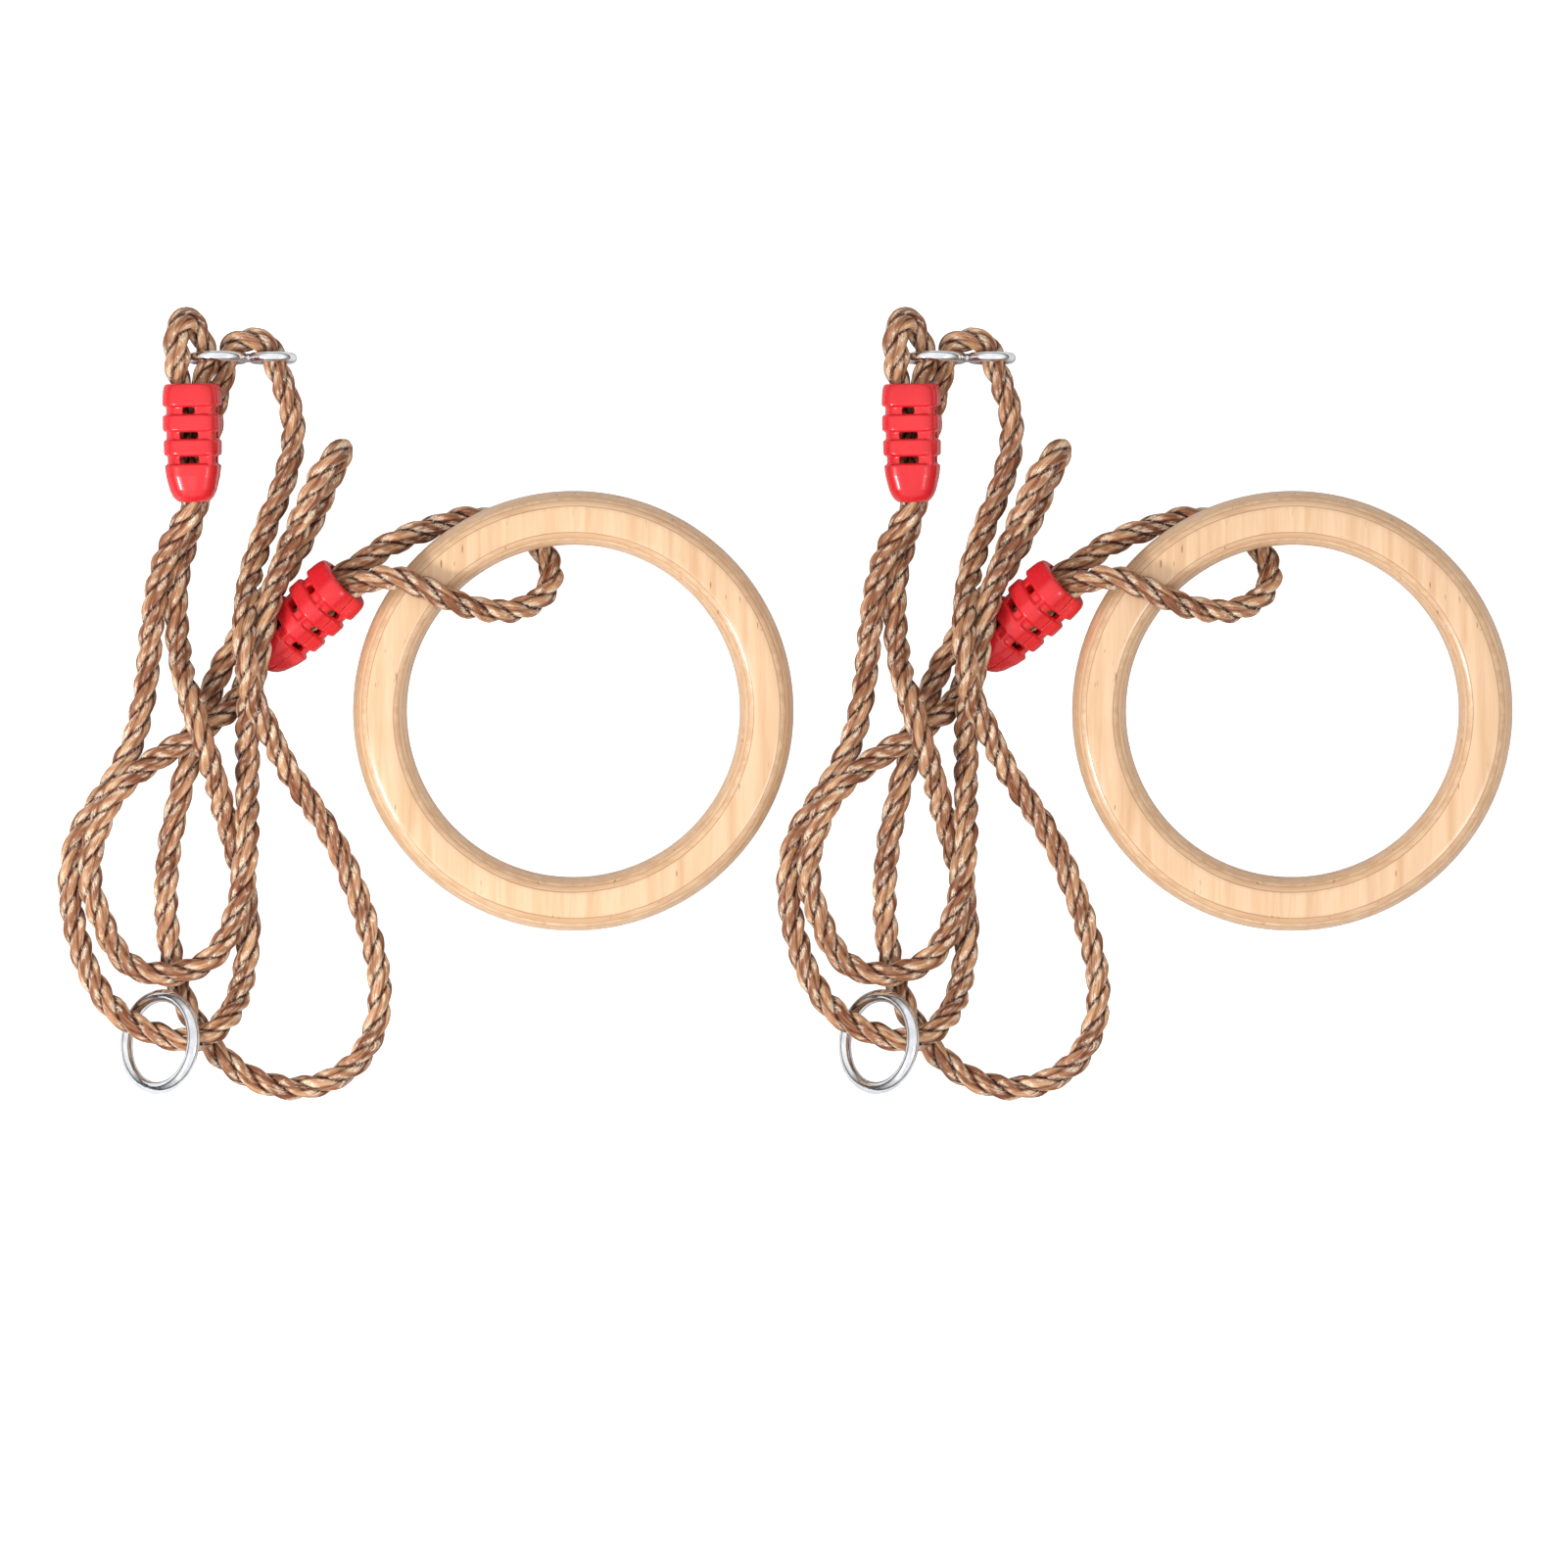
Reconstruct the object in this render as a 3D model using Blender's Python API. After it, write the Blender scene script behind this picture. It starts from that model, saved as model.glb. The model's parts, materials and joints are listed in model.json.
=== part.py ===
"""A pair of wooden gymnastics rings on adjustable ropes, laid out flat on a floor.

The two sets are alike. In each, one three-strand rope starts and ends in a rope eye that a
two-piece plastic clamp holds: the lower eye goes round the wooden ring, and the upper eye
holds a steel length adjuster. Between the clamps the rope runs through the adjuster and
through a steel hanging ring.

The origin is on the floor, midway between the two wooden rings. +X goes from the left set to
the right one and +Z is up. Every size below is in millimetres until MM turns it into metres.
"""
import math

import bmesh
import bpy
import numpy as np
from mathutils import Matrix, Vector

MM = 0.001
GAP = 0.3
SET_SPACING = 294.3

# wooden ring: a turned plywood ring with a narrow flat on its top and underside
WOOD_OUTER_RADIUS = 90.25
WOOD_SECTION = 22.2
WOOD_FLAT = 6.4
WOOD_CORNER_STEPS = 5
WOOD_STEPS_AROUND = 44
WOOD_TILT = 3.62
WOOD_RAISED_TOWARDS = 110.0

# rope: 10 mm across its strands' crests, and thinner on average over its section
ROPE_RADIUS = 4.4
ROPE_NECK_RADIUS = 4.1
ROPE_FLOOR_HEIGHT = 4.9
ROPE_NECK_RAMP = 8.0
ROPE_LONGEST_STEP = 25.0
ROPE_TURN_PER_STEP = 20.0

# steel hanging ring, leaning on the rope that runs through it
HANGING_RING_RADIUS = 19.0
HANGING_WIRE_RADIUS = 2.6
HANGING_RING_CENTRE = (-169.2, -135.4)
HANGING_RING_HEADING = -7.8
HANGING_RING_LEAN = 43.5

# steel length adjuster: two welded wire rings that stand on edge side by side and lean a little
ADJUSTER_WIRE_RADIUS = 2.1
ADJUSTER_LARGE_RADIUS = 10.9
ADJUSTER_SMALL_RADIUS = 8.05
ADJUSTER_WAIST = (-133.1, 143.5)
ADJUSTER_LEAN = 5.0
ADJUSTER_WELD = 0.5

# rope clamp: length, then (distance from its wide end, half width) along its outside
CLAMP_LENGTH = 48.5
CLAMP_CORNER = 7.0
CLAMP_OUTSIDE = [
    (0.0, 10.3), (0.9, 10.8), (2.4, 11.1), (4.5, 11.4), (9.0, 11.6), (9.4, 10.4), (12.6, 10.4),
    (13.0, 11.5), (19.2, 11.5), (19.6, 10.4), (22.8, 10.4), (23.2, 11.3), (29.2, 11.2),
    (29.6, 10.1), (32.8, 10.1), (33.2, 11.0), (38.0, 10.6), (43.5, 9.4), (46.5, 8.0), (48.5, 6.4),
]
CLAMP_CAVITY = [
    (-1.0, 9.9, 7.1), (0.5, 9.8, 6.7), (7.0, 9.0, 4.8), (31.0, 9.0, 4.8), (42.0, 5.6, 4.8),
    (45.0, 4.8, 4.8), (48.0, 5.1, 5.1), (49.5, 5.5, 5.5),
]
CLAMP_WINDOWS = (11.0, 21.2, 31.2)
CLAMP_WINDOW_SIZE = (7.5, 2.6)
# each clamp: middle of its wide end, middle of its small end, roll about its length
RING_CLAMP = ((-93.6, 52.9, 20.5), (-127.5, 21.8, 10.7), 45.0)
ADJUSTER_CLAMP = ((-156.1, 133.9, 21.0), (-155.3, 85.4, 20.8), 8.0)

# The rope's route through hand-chosen points, from one of its ends to the other. Each piece
# ends where the next one starts. A point that starts with a clamp lies inside that clamp, at
# a distance from its wide end and an offset across it.
ROPE_ROUTE = [
    ("ring_eye_rope", [
        ("ring", 27, 4.35), ("ring", 14, 4.35), ("ring", 2, 4.35), (-83.6, 53.4, 28.8),
        (-73, 54.5, 35), (-61.5, 50.7, 36.8), (-50.5, 45.4, 35.2), (-36, 41.3, 28.5),
        (-22, 41.6, 22.5), (-12.6, 47, 17), (-8.8, 55.2, 11.5), (-11, 63, 6.6),
        (-17, 70, 4.9), (-28, 76.6, 4.9), (-41.5, 79, 4.9), (-58.5, 74.8, 7.5), (-74.5, 68.5, 11),
        (-86.6, 60.6, 14.8), ("ring", 3, -4.35), ("ring", 12, -4.35),
    ]),
    ("lower_rope", [
        ("ring", 20, -4.35), ("ring", 29, -4.2), ("ring", 36, -1.9), ("ring", 42, -0.2),
        ("ring", 48, 0), (-133.8, 12, 6.4), (-138.5, 3.5, 7), (-152.5, -8, 14.9),
        (-166.5, -17, 13.2), (-184, -30, 14.6), (-192, -42, 14.2), (-197, -57, 12.2),
        (-197.5, -72, 11.4), (-192.3, -87.6, 7.4), (-183.4, -102.5, 9), (-165, -107.7, 14.9),
        (-146.8, -99.8, 12.6), (-138.5, -84, 14), (-135, -70, 14.8), (-133.5, -53.5, 13.8),
        (-133.5, -35.5, 6.4), (-133.5, -18.5, 6.4), (-133.5, -3, 14), (-131.5, 9, 18),
        (-129, 22, 27.6), (-126.3, 35.5, 29), (-122, 51.5, 21.4), (-113.5, 73.5, 14),
        (-101, 100, 20.3), (-97, 105, 18.2), (-95.5, 107, 12.6), (-95.5, 104.5, 7),
        (-98.5, 98, 4.9), (-107, 78, 4.9), (-120.7, 53.5, 4.9), (-135, 32.5, 4.9),
        (-147, 11.5, 4.9), (-154.9, -12.5, 4.9), (-163.8, -45.5, 4.9), (-166.8, -80, 4.9),
        (-163.6, -105, 4.9), (-153, -131, 7.6), (-137.2, -147.2, 4.9),
        (-114.3, -154.4, 4.9), (-89.2, -144.1, 4.9), (-79.3, -116, 4.9), (-86.5, -81.3, 4.9),
        (-100.4, -49, 4.9), (-116.1, -25.3, 10.5), (-126.8, -3.5, 22.5), (-132.3, 9, 29.6),
        (-133.5, 18.5, 36), (-134.5, 26.5, 37.3), (-134.3, 37.5, 32), (-132.8, 52, 18.6),
        (-127.4, 71, 7.5), (-119.2, 92, 4.9), (-114.7, 114.5, 4.9), (-117.8, 131, 8.8),
    ]),
    ("upper_rope", [
        (-121.8, 142, 12.8), (-125, 149.7, 13.6), (-132.5, 151.9, 14), (-139.5, 150.1, 13.2),
        (-141.7, 144.2, 11.7), (-143.1, 137, 7.9), (-145.6, 129, 5.1), (-149.2, 112, 4.9),
        (-155.3, 80.5, 4.9), (-162, 54.5, 4.9), (-161.5, 25, 6.4), (-158, 9, 17.2), (-153, -7.5, 24.7),
        (-148.5, -21.5, 19), (-143.5, -39.5, 7), (-137.5, -60.5, 4.9), (-133, -88, 4.9),
        (-135, -108, 7), (-141.5, -125.5, 16.8), (-154.5, -134.5, 20.9),
        (-169.5, -132.5, 16.6), (-183.5, -126, 11), (-195.5, -112.5, 5.4),
        (-203.8, -90, 4.9), (-206.3, -68, 4.9), (-201, -48, 4.9), (-191.5, -33.5, 4.9),
        (-180.8, -13.5, 4.9), (-175, 11.5, 4.9), (-172, 40.5, 7.6), (-166.4, 64.5, 12.8),
        (-160, 76.5, 18.6), ("adjuster", 48, -0.2), ("adjuster", 42, -0.2),
        ("adjuster", 36, -1.9), ("adjuster", 29, -4.2), ("adjuster", 20, -4.35),
        ("adjuster", 12, -4.35),
    ]),
    ("adjuster_eye_rope", [
        ("adjuster", 3, -4.35), (-162, 139.5, 21), (-162.2, 150, 21.8), (-161.8, 156, 21.2),
        (-159, 159.6, 19.8), (-155.9, 158.9, 17.2), (-152.7, 153.4, 14.6), (-149.6, 144.5, 14.6),
        (-150.9, 138, 18.4), ("adjuster", 1, 4.35), ("adjuster", 13, 4.35),
        ("adjuster", 27, 4.35),
    ]),
]
# rope length from the rope's start that each clamp and the adjuster squeeze
ROPE_NECKED = [(0.0, 28.0), (236.0, 285.0), (1405.0, 1420.0), (1984.0, 2130.0)]


def clear_scene():
    """Remove every object that the file starts with."""
    for item in list(bpy.data.objects):
        bpy.data.objects.remove(item, do_unlink=True)


def make_material(name, colour, roughness, metallic):
    """Return a Principled material of one colour."""
    material = bpy.data.materials.new(name)
    material.use_nodes = True
    shader = material.node_tree.nodes["Principled BSDF"]
    shader.inputs["Base Color"].default_value = (*colour, 1.0)
    shader.inputs["Roughness"].default_value = roughness
    shader.inputs["Metallic"].default_value = metallic
    return material


def add_object(name, data, material=None, parent=None):
    """Link an object that shows the given mesh or curve."""
    item = bpy.data.objects.new(name, data)
    bpy.context.scene.collection.objects.link(item)
    if material is not None and not data.materials:
        data.materials.append(material)
    item.parent = parent
    return item


def mesh_from_loops(name, loops, close_around):
    """Skin closed loops of points; cap the two ends unless the loops go all the way round."""
    shape = bmesh.new()
    rows = [[shape.verts.new(Vector(point) * MM) for point in loop] for loop in loops]
    sides = len(rows[0])
    spans = len(rows) if close_around else len(rows) - 1
    for i in range(spans):
        here = rows[i]
        there = rows[(i + 1) % len(rows)]
        for j in range(sides):
            k = (j + 1) % sides
            shape.faces.new((here[j], here[k], there[k], there[j]))
    if not close_around:
        shape.faces.new(list(reversed(rows[0])))
        shape.faces.new(rows[-1])
    bmesh.ops.recalc_face_normals(shape, faces=shape.faces)
    mesh = bpy.data.meshes.new(name)
    shape.to_mesh(mesh)
    shape.free()
    mesh.shade_smooth()
    mesh.set_sharp_from_angle(angle=math.radians(40))
    return mesh


def circle_points(radius, steps):
    """Return points (a, b) on a circle, centred on the origin."""
    angles = [2 * math.pi * i / steps for i in range(steps)]
    return [(radius * math.cos(a), radius * math.sin(a)) for a in angles]


def swept_ring(name, radius, section, steps):
    """Sweep a section, given as (outwards, up), once around the Z axis."""
    loops = []
    for i in range(steps):
        angle = 2 * math.pi * i / steps
        loops.append([
            ((radius + out) * math.cos(angle), (radius + out) * math.sin(angle), up)
            for out, up in section
        ])
    return mesh_from_loops(name, loops, close_around=True)


def wooden_section():
    """Return the wooden ring's section: two half rounds joined by narrow flats."""
    half = WOOD_SECTION / 2
    flat = WOOD_FLAT / 2
    points = []
    for side in (1, -1):
        for i in range(2 * WOOD_CORNER_STEPS + 1):
            angle = math.radians(-90 + 180 * i / (2 * WOOD_CORNER_STEPS))
            out = flat + (half - flat) * math.cos(angle)
            up = half * math.sin(angle)
            points.append((side * out, side * up))
    return points


def wooden_ring_matrix():
    """Return the wooden ring's place: tipped up on the rope that passes under it."""
    towards = math.radians(WOOD_RAISED_TOWARDS)
    tip_axis = Vector((math.sin(towards), -math.cos(towards), 0))
    turn = Matrix.Rotation(math.radians(WOOD_TILT), 4, tip_axis)
    reach = WOOD_OUTER_RADIUS - WOOD_SECTION / 2 + WOOD_FLAT / 2
    tilt = math.radians(WOOD_TILT)
    height = reach * math.sin(tilt) + WOOD_SECTION / 2 * math.cos(tilt)
    return Matrix.Translation((0, 0, height * MM)) @ turn


def rounded_rectangle(half_width, half_height, corner):
    """Return points of a rectangle with round corners, four points to a corner."""
    corner = min(corner, half_width - 0.05, half_height - 0.05)
    points = []
    for quarter in range(4):
        centre_x = (half_width - corner) * (1 if quarter in (0, 3) else -1)
        centre_y = (half_height - corner) * (1 if quarter in (0, 1) else -1)
        for i in range(4):
            angle = math.radians(90 * quarter + 30 * i)
            points.append((centre_x + corner * math.cos(angle),
                           centre_y + corner * math.sin(angle)))
    return points


def clamp_shell_meshes():
    """Return the clamp's two half shells, along +Z from the wide end, split at Y = 0."""
    outside = mesh_from_loops("clamp_outside", [
        [(x, y, z) for x, y in rounded_rectangle(half, half, CLAMP_CORNER)]
        for z, half in CLAMP_OUTSIDE
    ], close_around=False)
    cavity = mesh_from_loops("clamp_cavity", [
        [(x, y, z) for x, y in rounded_rectangle(half_width, half_height, half_height)]
        for z, half_width, half_height in CLAMP_CAVITY
    ], close_around=False)
    shells = []
    for side in (1, -1):
        body = add_object("clamp_body", outside)
        cutters = [add_object("clamp_cavity_cutter", cavity)]
        cutters.append(box_cutter((0, -side * (30 - GAP / 2), CLAMP_LENGTH / 2), (60, 60, 80)))
        width, length = CLAMP_WINDOW_SIZE
        for z in CLAMP_WINDOWS:
            cutters.append(box_cutter((0, side * 15, z), (width, 30, length)))
        for cutter in cutters:
            cut = body.modifiers.new("cut", "BOOLEAN")
            cut.operation = "DIFFERENCE"
            cut.solver = "EXACT"
            cut.object = cutter
        bpy.context.view_layer.update()
        evaluated = body.evaluated_get(bpy.context.evaluated_depsgraph_get())
        shell = bpy.data.meshes.new_from_object(evaluated)
        shell.name = "clamp_shell"
        shells.append(shell)
        for item in [body, *cutters]:
            bpy.data.objects.remove(item, do_unlink=True)
    return shells


def box_cutter(centre, size):
    """Return a box-shaped cutting tool."""
    half = [value / 2 for value in size]
    corners = [(-half[0], -half[1]), (half[0], -half[1]), (half[0], half[1]), (-half[0], half[1])]
    loops = [
        [(centre[0] + x, centre[1] + y, centre[2] + z) for x, y in corners]
        for z in (-half[2], half[2])
    ]
    cutter = add_object("box_cutter", mesh_from_loops("box_cutter", loops, close_around=False))
    cutter.hide_render = True
    cutter.display_type = "WIRE"
    return cutter


def adjuster_mesh():
    """Return the two welded wire rings as one mesh in the XZ plane, centred on the waist."""
    wire = circle_points(ADJUSTER_WIRE_RADIUS, 8)
    upright = Matrix.Rotation(math.radians(90), 4, "X")
    rings = []
    for radius, side in ((ADJUSTER_LARGE_RADIUS, -1), (ADJUSTER_SMALL_RADIUS, 1)):
        ring = add_object("wire_ring", swept_ring("wire_ring", radius, wire, 20))
        offset = side * (radius + ADJUSTER_WIRE_RADIUS - ADJUSTER_WELD / 2)
        ring.data.transform(Matrix.Translation((offset * MM, 0, 0)) @ upright)
        rings.append(ring)
    weld = rings[0].modifiers.new("weld", "BOOLEAN")
    weld.operation = "UNION"
    weld.solver = "EXACT"
    weld.object = rings[1]
    bpy.context.view_layer.update()
    evaluated = rings[0].evaluated_get(bpy.context.evaluated_depsgraph_get())
    mesh = bpy.data.meshes.new_from_object(evaluated)
    mesh.name = "length_adjuster"
    for ring in rings:
        bpy.data.objects.remove(ring, do_unlink=True)
    return mesh


def adjuster_matrix():
    """Return the adjuster's place: on the floor, leaning back a little."""
    foot = Matrix.Translation(Vector((*ADJUSTER_WAIST, ADJUSTER_WIRE_RADIUS)) * MM)
    lean = Matrix.Rotation(math.radians(-ADJUSTER_LEAN), 4, "X")
    return foot @ lean @ Matrix.Translation((0, 0, ADJUSTER_LARGE_RADIUS * MM))


def clamp_matrix(wide_end, small_end, roll):
    """Return a clamp's place from the middles of its ends and its roll."""
    start = Vector(wide_end)
    along = (Vector(small_end) - start).normalized()
    level = Vector((0, 0, 1)).cross(along).normalized()
    upright = along.cross(level)
    turn = Matrix((level, upright, along)).transposed().to_4x4()
    return Matrix.Translation(start * MM) @ turn @ Matrix.Rotation(math.radians(roll), 4, "Z")


def route_point(point):
    """Return a route point in millimetres; one in a clamp follows that clamp."""
    if not isinstance(point[0], str):
        return Vector(point)
    clamp, distance, across = point
    ends = {"ring": RING_CLAMP, "adjuster": ADJUSTER_CLAMP}[clamp]
    return clamp_matrix(*ends) @ Vector((across * MM, 0, distance * MM)) / MM


def smooth_curve(route):
    """Return points on the cubic spline through a route, and where each route point is."""
    points = np.array(route, dtype=float)
    chords = np.linalg.norm(np.diff(points, axis=0), axis=1)
    knots = np.concatenate([[0.0], np.cumsum(chords ** 0.75)])
    gaps = np.diff(knots)
    count = len(points)
    matrix = np.eye(count)
    wanted = np.zeros_like(points)
    for i in range(1, count - 1):
        matrix[i, i - 1:i + 2] = gaps[i - 1], 2 * (gaps[i - 1] + gaps[i]), gaps[i]
        slope_after = (points[i + 1] - points[i]) / gaps[i]
        slope_before = (points[i] - points[i - 1]) / gaps[i - 1]
        wanted[i] = 6 * (slope_after - slope_before)
    bends = np.linalg.solve(matrix, wanted)
    stretches = []
    places = [0]
    for i in range(count - 1):
        steps = max(4, int(chords[i] / 0.5))
        there = np.linspace(0, 1, steps, endpoint=False)[:, None]
        here = 1 - there
        curved = (here ** 3 - here) * bends[i] + (there ** 3 - there) * bends[i + 1]
        stretches.append(here * points[i] + there * points[i + 1] + gaps[i] ** 2 / 6 * curved)
        places.append(places[-1] + steps)
    curve = np.vstack([*stretches, points[-1:]])
    curve[:, 2] = np.maximum(curve[:, 2], ROPE_FLOOR_HEIGHT)
    return curve, places


def spaced_places(curve, first, last):
    """Pick places on a dense curve: far apart where it is straight, closer in its bends."""
    runs = np.diff(curve, axis=0)
    lengths = np.linalg.norm(runs, axis=1)
    headings = runs / lengths[:, None]
    picked = []
    distance = 0.0
    turned = 0.0
    for i in range(first + 1, last):
        distance += lengths[i - 1]
        bend = float(np.clip(headings[i] @ headings[i - 1], -1, 1))
        turned += math.degrees(math.acos(bend))
        to_ends = min(np.sum(lengths[first:i]), np.sum(lengths[i:last]))
        if (distance > ROPE_LONGEST_STEP or turned > ROPE_TURN_PER_STEP) and to_ends > 5:
            picked.append(i)
            distance = 0.0
            turned = 0.0
    return picked


def neck_fullness(distance):
    """Return how full the rope is there: 0 where it is squeezed, 1 where it is free."""
    fullness = 1.0
    for start, end in ROPE_NECKED:
        outside = max(start - distance, distance - end, 0.0)
        fullness = min(fullness, outside / ROPE_NECK_RAMP)
    return fullness


def rope_curves():
    """Return each rope piece as a bevelled curve, cut square from one smooth curve."""
    route = [route_point(point) for _, points in ROPE_ROUTE for point in points]
    curve, places = smooth_curve(route)
    along = np.concatenate([[0.0], np.cumsum(np.linalg.norm(np.diff(curve, axis=0), axis=1))])
    pieces = {}
    first = 0
    done = 0
    for name, points in ROPE_ROUTE:
        done += len(points)
        last = places[min(done, len(route) - 1)]
        picked = spaced_places(curve, first, last)
        ends = []
        for place, inwards in ((first, 1), (last, -1)):
            after = min(place + 1, len(curve) - 1)
            before = max(place - 1, 0)
            heading = curve[after] - curve[before]
            heading = heading / np.linalg.norm(heading) * inwards
            ends.append([(curve[place] + heading * step, along[place]) for step in (GAP / 2, 2.5)])
        middle = [(curve[i], along[i]) for i in picked]
        pieces[name] = rope_curve(name, [*ends[0], *middle, *reversed(ends[1])])
        first = last
    return pieces


def rope_curve(name, points):
    """Return a bevelled curve through (point, distance along the rope) pairs."""
    curve = bpy.data.curves.new(name, "CURVE")
    curve.dimensions = "3D"
    curve.bevel_depth = ROPE_RADIUS * MM
    curve.bevel_resolution = 3
    curve.use_fill_caps = True
    spline = curve.splines.new("POLY")
    spline.points.add(len(points) - 1)
    thinnest = ROPE_NECK_RADIUS / ROPE_RADIUS
    for target, (point, distance) in zip(spline.points, points):
        target.co = (*(point * MM), 1.0)
        target.radius = thinnest + (1 - thinnest) * neck_fullness(distance)
    return curve


def hanging_ring_mesh():
    """Return the steel ring, lying flat with its origin on its rim's centreline."""
    wire = circle_points(HANGING_WIRE_RADIUS, 8)
    mesh = swept_ring("hanging_ring", HANGING_RING_RADIUS, wire, 28)
    mesh.transform(Matrix.Translation((HANGING_RING_RADIUS * MM, 0, 0)))
    return mesh


def hanging_ring_matrix():
    """Return the steel ring's place: one edge on the floor, the other leaning up."""
    lean = math.radians(HANGING_RING_LEAN)
    heading = math.radians(HANGING_RING_HEADING)
    reach = HANGING_RING_RADIUS * math.cos(lean)
    edge = Vector((
        HANGING_RING_CENTRE[0] - reach * math.cos(heading),
        HANGING_RING_CENTRE[1] - reach * math.sin(heading),
        HANGING_WIRE_RADIUS,
    ))
    turn = Matrix.Rotation(heading, 4, "Z") @ Matrix.Rotation(-lean, 4, "Y")
    return Matrix.Translation(edge * MM) @ turn


def shared_shapes():
    """Make each mesh and curve once, for both sets to share."""
    upper_shell, lower_shell = clamp_shell_meshes()
    shapes = {
        "wooden_ring": swept_ring(
            "wooden_ring", WOOD_OUTER_RADIUS - WOOD_SECTION / 2, wooden_section(),
            WOOD_STEPS_AROUND),
        "upper_shell": upper_shell,
        "lower_shell": lower_shell,
        "length_adjuster": adjuster_mesh(),
        "hanging_ring": hanging_ring_mesh(),
    }
    return {**shapes, **rope_curves()}


def build_set(side, x, shapes, materials):
    """Build one complete ring set around an empty under its wooden ring."""
    base = bpy.data.objects.new(f"{side}_base", None)
    bpy.context.scene.collection.objects.link(base)
    base.location = (x * MM, 0, 0)

    def place(name, shape, material, matrix=None):
        item = add_object(f"{side}_{name}", shapes[shape], materials[material], base)
        if matrix is not None:
            item.matrix_local = matrix

    place("wooden_ring", "wooden_ring", "plywood", wooden_ring_matrix())
    for name, _ in ROPE_ROUTE:
        place(name, name, "rope")
    for clamp, ends in (("ring_clamp", RING_CLAMP), ("adjuster_clamp", ADJUSTER_CLAMP)):
        for shell in ("upper_shell", "lower_shell"):
            place(f"{clamp}_{shell}", shell, "red_plastic", clamp_matrix(*ends))
    place("length_adjuster", "length_adjuster", "steel", adjuster_matrix())
    place("hanging_ring", "hanging_ring", "steel", hanging_ring_matrix())


def main():
    clear_scene()
    materials = {
        "plywood": make_material("plywood", (0.78, 0.58, 0.36), 0.38, 0.0),
        "rope": make_material("rope", (0.43, 0.22, 0.10), 0.62, 0.0),
        "red_plastic": make_material("red_plastic", (0.80, 0.03, 0.03), 0.22, 0.0),
        "steel": make_material("steel", (0.72, 0.73, 0.75), 0.22, 1.0),
    }
    shapes = shared_shapes()
    for side, x in (("left", -SET_SPACING / 2), ("right", SET_SPACING / 2)):
        build_set(side, x, shapes, materials)
    bpy.context.view_layer.update()


main()
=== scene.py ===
"""The pair of gymnastics rings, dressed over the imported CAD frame.

Sizes are in millimetres until MM turns them into metres. A set is built around a point on the
floor under the middle of its wooden ring, and both sets share their meshes.
"""

import json
import math

import bmesh
import bpy
import numpy as np
from mathutils import Matrix, Vector


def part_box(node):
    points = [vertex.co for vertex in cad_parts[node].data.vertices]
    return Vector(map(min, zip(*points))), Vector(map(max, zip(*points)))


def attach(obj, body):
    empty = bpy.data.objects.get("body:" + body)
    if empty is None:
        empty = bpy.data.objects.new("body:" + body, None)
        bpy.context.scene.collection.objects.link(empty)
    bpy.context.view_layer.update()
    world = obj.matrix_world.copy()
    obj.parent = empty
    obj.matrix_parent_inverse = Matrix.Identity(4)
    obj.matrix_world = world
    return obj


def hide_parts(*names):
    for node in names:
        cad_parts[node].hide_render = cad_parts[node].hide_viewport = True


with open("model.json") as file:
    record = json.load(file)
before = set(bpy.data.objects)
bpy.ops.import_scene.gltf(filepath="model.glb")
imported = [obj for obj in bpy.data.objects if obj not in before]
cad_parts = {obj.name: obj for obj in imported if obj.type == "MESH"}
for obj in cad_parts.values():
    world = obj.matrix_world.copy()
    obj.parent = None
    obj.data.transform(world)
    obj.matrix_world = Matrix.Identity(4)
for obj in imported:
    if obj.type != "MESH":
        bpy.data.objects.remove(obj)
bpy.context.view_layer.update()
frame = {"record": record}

MM = 0.001
SIDES = ("left", "right")

# wooden ring
WOOD_OUTER_RADIUS = 90.25
WOOD_SECTION = 22.2
WOOD_FLAT = 6.4
WOOD_STEPS = 192
WOOD_HALF_ROUND_STEPS = 24
PLY_THICKNESS = 1.42
PLY_WAVER = 0.6

# rope: three strands laid up right-handed
ROPE_LAY = 31.5
ROPE_STEP = 0.7
ROPE_CURVE_STEP = 0.5
ROPE_CURVE_EASE = 0.75
ROPE_FLOOR_HEIGHT = 4.9
ROPE_CLEARANCE = 0.05
ROPE_LARGEST_RADIUS = 5.2
ROPE_PATH_EVERY = 6
STRAND_OFFSET = 2.2
STRAND_RADIUS = 2.85
STRAND_STEPS = 16

# yarns: each bulges from its strand, some more than others, and dips under at one end
YARNS = 6
YARN_SLANT = 0.04
YARN_ROUNDNESS = 0.6
YARN_HEIGHT = 0.85
YARN_LEAST_BULGE = 0.8
YARN_BULGE_SPREAD = 0.5
YARN_SINK = 0.75
YARN_TUCK = 0.22

# how far from the rope's axis the shader's filaments are drawn
FIBRE_RADIUS = 5

# unevenness along the rope: how much, over what length, and the seed
SIZE_WAVER = (0.015, 23, 5)
LAY_WAVER = (2.6, 43, 8)
SLANT_WAVER = (4, 31, 3)

# rope lengths from the rope's start: where a clamp or a ring squeezes it, and the fuller eye
ROPE_SQUEEZED = [
    (0.0, 26.0), (238.0, 285.0), (1404.0, 1420.0), (1984.0, 2029.0), (2072.0, 2090.0),
    (2097.0, 2130.0),
]
ROPE_NECK = 0.9
ROPE_NECK_RAMP = 8.0
ROPE_EYE = (2034.0, 2066.0)
ROPE_EYE_SWELL = 0.12

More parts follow.
